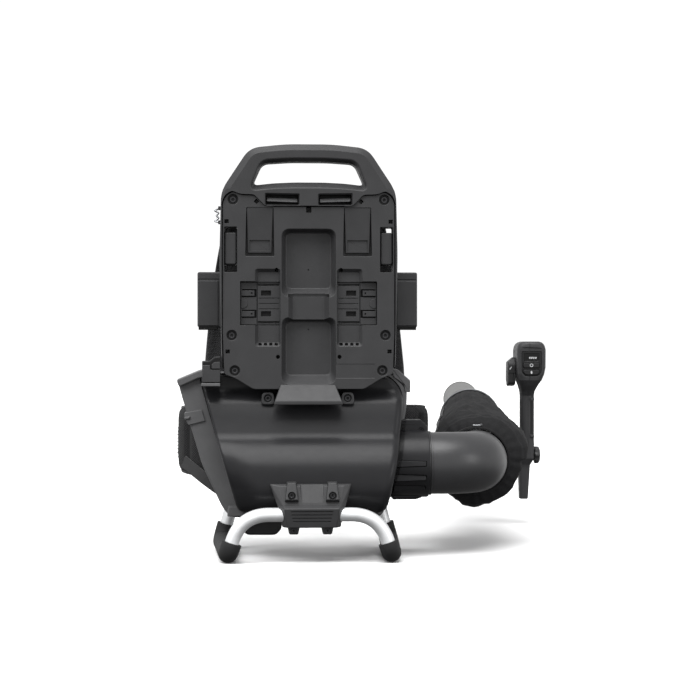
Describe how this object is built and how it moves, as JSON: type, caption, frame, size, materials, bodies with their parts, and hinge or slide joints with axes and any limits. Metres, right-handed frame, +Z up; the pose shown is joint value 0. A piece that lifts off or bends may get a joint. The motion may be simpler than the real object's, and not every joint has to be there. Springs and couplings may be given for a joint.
{
  "type": "backpack leaf blower",
  "caption": "Battery backpack leaf blower standing on its tube feet: carrying frame, fan housing, elbow, fabric hose, nozzle tube with control handle, and harness.",
  "frame": {"origin": "on the ground, at the bottom centre of the whole machine", "axes": "+Z up; +Y the way the wearer faces and the nozzle points; +X the wearer's right, where the air duct leaves"},
  "size_m": [0.5558, 1.121, 0.5397],
  "materials": {
    "aluminium": "satin anodised tube",
    "black": "black moulding",
    "board": "potted circuit board",
    "casing": "fine textured dark grey moulding",
    "duct": "smooth semi-gloss dark grey",
    "fabric": "black woven fabric",
    "housing": "satin dark grey moulding",
    "nozzle": "light grey moulding",
    "rubber": "matt black rubber",
    "steel": "plated steel",
    "webbing": "black webbing"
  },
  "bodies": {
    "backpack": {"carry_frame": "casing", "back_plate": "casing", "battery_rail_left": "black", "battery_rail_right": "black", "battery_rest": "casing", "plate_screw_left": "steel", "plate_screw_right": "steel", "battery_connector": "black", "housing_outer": "housing", "housing_inner": "casing", "fan_guard": "black", "lower_cover": "housing", "motor_stator": "steel", "bearing_front": "steel", "motor_mount": "aluminium", "bearing_rear": "steel", "motor_controller": "board", "outlet_collar": "housing", "stand_tube": "aluminium", "foot_left": "rubber", "foot_right": "rubber", "stand_bracket": "casing", "leg_clamp_left": "black", "leg_clamp_right": "black", "harness_frame": "black", "harness_yoke": "casing", "damper_left": "rubber", "damper_right": "rubber", "back_pad": "fabric", "lumbar_pad": "fabric", "shoulder_strap_left": "fabric", "strap_webbing_left": "webbing", "shoulder_strap_right": "fabric", "strap_webbing_right": "webbing", "hip_pad_left": "fabric", "belt_webbing_left": "webbing", "hip_pad_right": "fabric", "belt_webbing_right": "webbing", "buckle_socket": "black", "buckle_plug": "black", "harness_clip": "steel"},
    "fan": {"impeller": "black", "fan_shaft": "steel", "motor_rotor": "steel"},
    "elbow": {"elbow_pipe": "duct", "hose_clamp_rear": "steel", "fabric_hose": "fabric"},
    "tube": {"control_tube": "duct", "hose_clamp_front": "steel", "handle_clamp": "black"},
    "nozzle": {"nozzle": "nozzle"},
    "handle": {"handle_shell_left": "casing", "handle_shell_right": "casing", "control_panel": "black"},
    "trigger": {"trigger": "black"},
    "lever": {"cruise_lever": "black"},
    "power_button": {"power_button": "black"},
    "boost_button": {"boost_button": "black"},
    "knob": {"clamp_knob": "black"}
  },
  "joints": [
    {"name": "fan_spin", "type": "hinge", "parent": "backpack", "child": "fan", "pos_m": [-0.11359, -0.44249, 0.1427], "axis": [0, 1, 0], "continuous": true},
    {"name": "elbow_swivel", "type": "hinge", "parent": "backpack", "child": "elbow", "pos_m": [0.03841, -0.44729, 0.1217], "axis": [1, 0, 0], "range_deg": [-40, 70]},
    {"name": "tube_swing", "type": "hinge", "parent": "elbow", "child": "tube", "pos_m": [0.13941, -0.24249, 0.1367], "axis": [0, 0, 1], "range_deg": [-30, 12], "deforming": ["fabric_hose"]},
    {"name": "nozzle_twist", "type": "hinge", "parent": "tube", "child": "nozzle", "pos_m": [0.15241, -0.09049, 0.1657], "axis": [0.0891, 0.9957, 0.0238], "range_deg": [0, 25]},
    {"name": "handle_tilt", "type": "hinge", "parent": "tube", "child": "handle", "pos_m": [0.23701, -0.00249, 0.1077], "axis": [1, 0, 0], "range_deg": [-20, 20]},
    {"name": "trigger_pull", "type": "hinge", "parent": "handle", "child": "trigger", "pos_m": [0.25141, 0.01151, 0.2147], "axis": [-1, 0, 0], "range_deg": [0, 15], "stiffness_Nm_per_rad": 0.4, "springref_deg": -17.19},
    {"name": "lever_turn", "type": "hinge", "parent": "handle", "child": "lever", "pos_m": [0.22641, -0.00449, 0.2367], "axis": [1, 0, 0], "range_deg": [0, 50]},
    {"name": "power_press", "type": "slide", "parent": "handle", "child": "power_button", "axis": [0, 1, 0], "range_m": [0, 0.0012], "stiffness_N_per_m": 900, "springref_m": -0.0015},
    {"name": "boost_press", "type": "slide", "parent": "handle", "child": "boost_button", "axis": [0, 1, 0], "range_m": [0, 0.0012], "stiffness_N_per_m": 900, "springref_m": -0.0015},
    {"name": "knob_turn", "type": "hinge", "parent": "handle", "child": "knob", "pos_m": [0.26641, -0.00249, 0.1077], "axis": [1, 0, 0], "continuous": true}
  ]
}
